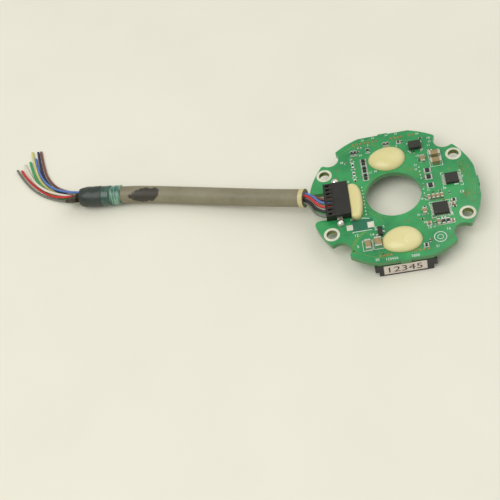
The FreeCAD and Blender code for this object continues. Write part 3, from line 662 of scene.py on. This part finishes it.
OUTLINES = (("controller_chip", 0.0008, 0.4), ("driver_chip", 0.0010, 0.25), ("regulator_chip", 0.0003, 0.3),
            ("large_capacitors", 0.0007, 1.0), ("transistor_body", 0.0006, 0.35))
for node, gap, share in OUTLINES:
    for (x0, x1), (y0, y1), _ in islands(node):
        outline(x0, x1, y0, y1, gap, share)
for (x0, x1), (y0, y1), _ in islands("resistors") + islands("small_capacitors"):
    for y in ((y0 - 0.00028) * 1000, (y1 + 0.00028) * 1000):
        stroke(shape, [(x0 * 1000 - 0.35, y), (x1 * 1000 + 0.35, y)], INK)
stroke(shape, [(-13.6, -7.1), (-9.9, -7.1), (-8.1, -7.6)], INK * 1.3)
stroke(shape, [(-13.4, -12.1), (-13.4, -11.7), (-8.7, -11.7), (-7.9, -11.7)], INK * 1.3)
stroke(shape, [(17.7, -0.4), (18.9, -0.4)], INK * 3)
stroke(shape, arc(10.6, -18.1, 1.7, 0, 360, 36), INK * 1.4)
stroke(shape, arc(10.6, -18.1, 0.8, 0, 360, 24), INK)
for y in (8.3, 6.7, 5.3, 4.0, -0.2, -1.8, -3.0, -4.3):
    stroke(shape, [(8.6, y), (8.95, y)], INK * 2.4)
for k in range(9):
    stroke(shape, [(-9.0, 4.4 - 1.3 * k), (-8.65, 4.4 - 1.3 * k)], INK * 2.2)
for y in (14.2, 12.8, 10.7, 9.4, 7.8):
    stroke(shape, [(-10.9, y), (-10.1, y)], INK * 3)

# digits, place and size in mm
NUMBERS = [
    ("12", -13.2, -13.4, 1.3), ("14", -8.8, -14.0, 1.3), ("10", 12.7, 18.8, 1.2),
    ("11", 12.4, 15.9, 1.1), ("13", 18.6, -3.9, 1.3), ("15", 7.6, -14.7, 1.3),
    ("16", 12.6, -16.2, 1.3), ("17", -6.2, 9.0, 1.1), ("18", -13.4, 7.0, 1.1),
    ("19", 8.4, 12.4, 1.1), ("1", -13.0, 14.2, 1.1), ("2", -5.2, 20.2, 1.0), ("3", 3.2, 17.8, 1.0),
    ("20", -8.4, -22.9, 1.2), ("21", 8.8, -21.5, 1.1), ("4", 20.2, 1.8, 1.1),
    ("123456", -5.6, -23.3, 1.2), ("7890", 1.6, -23.5, 1.2), ("5", -12.9, -17.4, 1.3),
    ("22", -6.8, 22.6, 0.9), ("23", -3.6, 22.8, 0.9), ("24", 0.6, 23.0, 0.9),
    ("25", 3.6, 22.9, 0.9), ("26", 9.8, 21.4, 1.0), ("27", 13.0, 17.4, 0.9),
    ("28", -14.2, 14.9, 1.0), ("29", -8.2, 16.6, 1.0), ("30", -4.6, 9.3, 1.0),
    ("31", 7.4, 9.0, 1.0), ("32", 7.3, 7.4, 0.9), ("33", 9.6, -1.2, 0.9), ("34", 14.2, -1.6, 1.0),
    ("35", 5.4, -9.6, 1.0), ("36", 6.8, -12.6, 1.0), ("37", 16.0, -6.6, 0.9),
    ("38", 7.3, -4.0, 0.9), ("39", -11.2, 15.6, 0.9), ("41", 9.2, -14.6, 0.9)]


def number_mesh(text, size, thickness, place):
    """Plain digits as a mesh, put in place by a matrix."""
    words = bpy.data.curves.new("digits", "FONT")
    words.body = text
    words.size = size
    words.extrude = thickness / 2
    holder = bpy.data.objects.new("digits", words)
    bpy.context.collection.objects.link(holder)
    bpy.context.view_layer.update()
    mesh = bpy.data.meshes.new_from_object(holder.evaluated_get(bpy.context.evaluated_depsgraph_get()))
    bpy.data.objects.remove(holder)
    mesh.transform(place)
    return mesh


for text, x, y, size in NUMBERS:
    spot = Matrix.Translation((x / 1000, y / 1000, TOP + 0.00001))
    shape.from_mesh(number_mesh(text, size / 1000, INK_THICK, spot))
mesh_piece("silkscreen", shape, ink, "board", smooth=False)


# ---- glue ----
# Soft cream glue, dropped over the read heads' legs and run along the back of the header. The
# near blob was touched while it set, which left half a ring in it.
glue, _, _, shader, _, _ = new_finish(
    "cream_glue", (0.68, 0.61, 0.27), (0.74, 0.68, 0.33), 260, 0.30, bump=0.05, coarse=0.9, coat=0.25)
shader.inputs["Subsurface Weight"].default_value = 0.12
shader.inputs["Subsurface Radius"].default_value = (0.001, 0.0008, 0.0004)
shader.inputs["Subsurface Scale"].default_value = 0.5


DIMPLE_AT = (0.0020, -0.0008)   # from the blob's middle
DIMPLE_R, DIMPLE_WIDTH, DIMPLE_DEPTH = 0.0019, 0.00035, 0.00028


def glue_blob(name, node, phase, dimple):
    """A dome of glue in the box of a CAD blob, a little uneven round its rim."""
    low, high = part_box(node)
    middle, half = (low + high) / 2, (high - low) / 2
    height, rings, steps = high.z - low.z, 30, 96
    shape = bmesh.new()
    top = shape.verts.new((middle.x, middle.y, high.z))
    rows = []
    for i in range(1, rings + 1):
        t = i / rings
        row = []
        for k in range(steps):
            angle = 2 * math.pi * k / steps
            uneven = 1 - 0.025 * (1 + math.sin(3 * angle + phase))
            x = middle.x + half.x * uneven * math.sin(t * math.pi / 2) * math.cos(angle)
            y = middle.y + half.y * uneven * math.sin(t * math.pi / 2) * math.sin(angle)
            z = low.z + height * math.cos(t * math.pi / 2) ** 0.95
            if dimple:
                away = Vector((x - middle.x - DIMPLE_AT[0], y - middle.y - DIMPLE_AT[1]))
                groove = math.exp(-((away.length - DIMPLE_R) / DIMPLE_WIDTH) ** 2)
                z -= DIMPLE_DEPTH * groove * max(0.0, -away.normalized().x) if away.length > 0 else 0
            row.append(shape.verts.new((x, y, max(z, low.z))))
        rows.append(row)
    bottom = shape.verts.new((middle.x, middle.y, low.z))
    for k in range(steps):
        n = (k + 1) % steps
        shape.faces.new((top, rows[0][k], rows[0][n]))
        for inner, outer in zip(rows, rows[1:]):
            shape.faces.new((inner[k], outer[k], outer[n], inner[n]))
        shape.faces.new((bottom, rows[-1][n], rows[-1][k]))
    blob = mesh_piece(name, shape, glue, "board")
    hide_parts(node)


glue_blob("near_glue", "near_glue_blob", 0.6, True)
glue_blob("far_glue", "far_glue_blob", 2.2, False)


def header_bead():
    """A run of glue, flat against the header and rounded where it ran out over the board."""
    low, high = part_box("header_glue")
    middle_y, half_y = (low.y + high.y) / 2, (high.y - low.y) / 2
    reach, height = high.x - low.x, high.z - low.z
    shape = bmesh.new()
    rows, steps, rings = [], 48, 14
    for k in range(steps + 1):
        angle = -math.pi / 2 + math.pi * k / steps
        out = abs(math.cos(angle)) ** 0.38
        across = math.copysign(abs(math.sin(angle)) ** 0.85, math.sin(angle))
        row = []
        for i in range(rings + 1):
            t = i / rings
            swell = 0.06 * math.sin(2.3 * angle + 0.7)
            x = low.x + reach * out * t * (1.03 + swell * 0.8)
            y = middle_y + half_y * across * (0.72 + 0.28 * t)
            z = low.z + height * max(0.0, 1 - t ** 5) ** 0.5
            row.append(shape.verts.new((x, y, z)))
        rows.append(row)
    for first, second in zip(rows, rows[1:]):
        for i in range(rings):
            shape.faces.new((first[i], first[i + 1], second[i + 1], second[i]))
    bmesh.ops.remove_doubles(shape, verts=shape.verts, dist=0.000001)
    bmesh.ops.holes_fill(shape, edges=[e for e in shape.edges if e.is_boundary])
    bmesh.ops.recalc_face_normals(shape, faces=shape.faces)
    return shape


bead = mesh_piece("header_bead", header_bead(), glue, "board")
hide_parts("header_glue")

# ---- header and plug ----
# Low-profile wire-to-board pair moulded in black nylon. The plug's contacts show in slots along
# its cable side, and two tinned tabs and balls of solder hold the header down.
nylon = new_finish("black_nylon", (0.010, 0.0095, 0.0065), (0.019, 0.018, 0.012), 3500, 0.42, bump=0.25)[0]
dress(nylon, "header_housing", "plug_housing")
dress(tin, "header_pins", "header_hold_downs", "plug_terminals")
dress(solder, "hold_down_solder")

# ---- packages ----
# Moulded epoxy packages with fine matt grain and flat tinned leads. Their tops are left plain.
resin = new_finish("chip_resin", (0.017, 0.0175, 0.012), (0.028, 0.029, 0.019), 6000, 0.52, bump=0.4)[0]
dress(resin, "controller_chip", "driver_chip", "regulator_chip", "transistor_body", "memory_chip",
      "head_sensor_chips")
dress(tin, "controller_leads", "driver_leads", "regulator_leads", "transistor_leads",
      "memory_chip_leads", "head_legs")
shape = bmesh.new()
for node in ("controller_chip", "driver_chip"):
    low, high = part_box(node)
    spot = Matrix.Translation((low.x + 0.0006, low.y + 0.0006, high.z))
    bmesh.ops.create_cone(shape, cap_ends=True, segments=20, radius1=0.00022, radius2=0.0002, depth=0.00002,
                          matrix=spot)
dot = new_finish("pin_one_dot", (0.05, 0.047, 0.05), (0.07, 0.066, 0.07), 5000, 0.35)[0]
mesh_piece("pin_one_dots", shape, dot, "board")

# ---- capacitors and resistors ----
# Tan ceramic blocks and black glazed chips, each with a bright metal cap at both ends.
ceramic = new_finish("tan_ceramic", (0.25, 0.18, 0.075), (0.36, 0.27, 0.12), 2500, 0.55)[0]
glaze = new_finish("resistor_glaze", (0.006, 0.007, 0.007), (0.014, 0.015, 0.014), 3000, 0.28, coat=0.4)[0]
dress(ceramic, "large_capacitors", "small_capacitors", "underside_capacitors")
dress(glaze, "resistors")
dress(solder, "large_capacitor_ends", "small_capacitor_ends", "resistor_ends",
      "underside_capacitor_ends")

# ---- the smallest chip parts and empty pads ----
# Parts about 0.6 mm long fill the gaps, and pairs of tinned pads stand empty beside them.
# Sizes are half widths in mm, then a height.
SMALLEST = [
    (-10.5, 13.5, 0), (-10.5, 10.0, 0), (-10.4, 7.2, 0), (8.6, -3.4, 90), (8.0, -6.9, 0),
    (13.3, -1.9, 0), (15.8, -3.2, 90), (16.4, -8.4, 0), (6.7, -11.0, 0), (9.9, -13.2, 90),
    (9.0, 1.1, 90), (9.8, 3.6, 90), (11.0, 19.6, 0), (5.4, 19.4, 90), (9.3, 11.0, 0), (8.3, 14.4, 90),
    (-8.3, 18.4, 0), (7.6, -19.0, 90)]
BODY_X, BODY_Y, BODY_TALL = 0.24, 0.20, 0.00026
END_X, END_Y, END_TALL, END_OFF = 0.20, 0.24, 0.00022, 0.38
bodies, ends = bmesh.new(), bmesh.new()
for x, y, turn in SMALLEST:
    turn = math.radians(turn)
    slab(bodies, (x - BODY_X) / 1000, (x + BODY_X) / 1000, (y - BODY_Y) / 1000, (y + BODY_Y) / 1000,
         TOP, TOP + BODY_TALL, turn=turn)
    for side in (-1, 1):
        ex, ey = x + side * END_OFF * math.cos(turn), y + side * END_OFF * math.sin(turn)
        plate(ends, ex, ey, END_X, END_Y, END_TALL, turn=turn, taper=0.00005)
PAD_PAIRS = [(-10.5, 14.8), (-10.5, 11.8), (-10.5, 8.6), (-7.6, 20.0), (13.0, 14.2), (14.6, -10.6),
             (12.6, -11.6)]
PAD_X, PAD_Y, PAD_TALL, PAD_OFF = 0.24, 0.30, 0.00004, 0.45
for x, y in PAD_PAIRS:
    for side in (-1, 1):
        plate(ends, x + side * PAD_OFF, y, PAD_X, PAD_Y, PAD_TALL)
mesh_piece("smallest_parts", bodies, glaze, "board", smooth=False)
mesh_piece("smallest_part_ends", ends, solder, "board", smooth=False)

# ---- lands of the screw holes ----
# Tinned copper rings, dull and slightly yellowed. They are plated through the holes, whose
# walls are stained green by the mask.
land_finish = new_finish("land_tin", (0.55, 0.54, 0.41), (0.74, 0.74, 0.60), 1500, 0.42, bump=0.1)
tint_where(land_finish, wall_mask(land_finish, 0.00001), (0.165, 0.215, 0.045))
dress(land_finish[0], "screw_hole_rings", "bare_pads")

# ---- read heads ----
# Black moulded optical read heads under the board. The near one carries a paper label with
# plain digits, and each has a glass window below with a lamp and a sensor chip behind it.
moulding = new_finish("black_resin", (0.014, 0.013, 0.014), (0.026, 0.024, 0.026), 4000, 0.45, bump=0.25)[0]
dress(moulding, "near_head_housing", "far_head_housing")
paper = new_finish("cream_label", (0.66, 0.58, 0.50), (0.74, 0.67, 0.59), 5000, 0.75)[0]
dress(paper, "head_label")
low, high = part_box("head_label")
digits_ink = new_finish("label_ink", (0.03, 0.028, 0.03), (0.06, 0.055, 0.06), 5000, 0.7)[0]
digits = number_mesh("12345", 0.0036, INK_THICK, Matrix())
left = min(v.co.x for v in digits.vertices)
width = max(v.co.x for v in digits.vertices) - left
tall = max(v.co.y for v in digits.vertices) - min(v.co.y for v in digits.vertices)
label_x, label_z = high.x - low.x, high.z - low.z
digits.transform(Matrix.Translation((-left, 0, 0)))
digits.transform(Matrix.Diagonal((0.78 * label_x / width, 0.66 * label_z / tall, 1, 1)))
digits.transform(Matrix.Rotation(math.pi / 2, 4, "X"))
digits.transform(Matrix.Translation((low.x + 0.11 * label_x, low.y, low.z + 0.18 * label_z)))
shape = bmesh.new()
shape.from_mesh(digits)
mesh_piece("label_digits", shape, digits_ink, "board", smooth=False)

window = bpy.data.materials.new("window_glass")
window.use_nodes = True
nodes, link = window.node_tree.nodes, window.node_tree.links.new
pane = nodes["Principled BSDF"]
pane.inputs["Base Color"].default_value = (0.85, 0.88, 0.90, 1)
pane.inputs["Transmission Weight"].default_value = 1.0
pane.inputs["Roughness"].default_value = 0.05
smudge = nodes.new("ShaderNodeTexNoise")
smudge.inputs["Scale"].default_value = 600
smudge_place = nodes.new("ShaderNodeTexCoord")
link(smudge_place.outputs["Object"], smudge.inputs["Vector"])
faint = nodes.new("ShaderNodeMapRange")
faint.inputs[3].default_value, faint.inputs[4].default_value = 0.02, 0.14
link(smudge.outputs[0], faint.inputs[0])
link(faint.outputs[0], pane.inputs["Roughness"])
dress(window, "head_windows")
clear_resin = new_finish("clear_resin", (0.62, 0.63, 0.58), (0.74, 0.75, 0.70), 1500, 0.15, coat=0.6)[0]
dress(clear_resin, "head_lamps")

# ---- band and shield ----
# A turn of cream tape binds the jacket's mouth, and a tinned braid lies inside the jacket.
cream_tape = new_finish("cream_tape", (0.55, 0.47, 0.22), (0.66, 0.58, 0.32), 900, 0.5)[0]
dress(cream_tape, "jacket_end_band")
screen = new_finish("braid", (0.30, 0.20, 0.13), (0.56, 0.43, 0.31), 5000, 0.4, metallic=0.9)[0]
dress(screen, "cable_shield")

# ---- floor and light ----
# A pale warm sheet under the object, and large soft lamps overhead.
floor_z = cad_box[0][2]
bpy.ops.mesh.primitive_plane_add(size=6, location=(0, 0, floor_z - 0.00002))
floor = bpy.context.object
floor.name = "floor"
sheet = new_finish("pale_sheet", (0.765, 0.745, 0.630), (0.800, 0.780, 0.665), 30, 0.8)[0]
floor.data.materials.append(sheet)

# name, place, width and power of each lamp
LAMPS = (("key", (-0.35, -0.25, 0.75), 0.7, 3.7), ("fill", (0.5, 0.35, 0.7), 0.9, 2.0))
SKY_POWER = 0.56
for name, place, size, power in LAMPS:
    lamp = bpy.data.objects.new(name, bpy.data.lights.new(name, "AREA"))
    lamp.data.size = size
    lamp.data.energy = power
    lamp.location = place
    lamp.rotation_euler = (AIM - Vector(place)).to_track_quat("-Z", "Y").to_euler()
    bpy.context.collection.objects.link(lamp)
world = bpy.data.worlds.new("studio")
world.use_nodes = True
world.node_tree.nodes["Background"].inputs[0].default_value = (1.0, 0.99, 0.96, 1)
world.node_tree.nodes["Background"].inputs[1].default_value = SKY_POWER
bpy.context.scene.world = world
bpy.context.scene.view_settings.view_transform = "Standard"
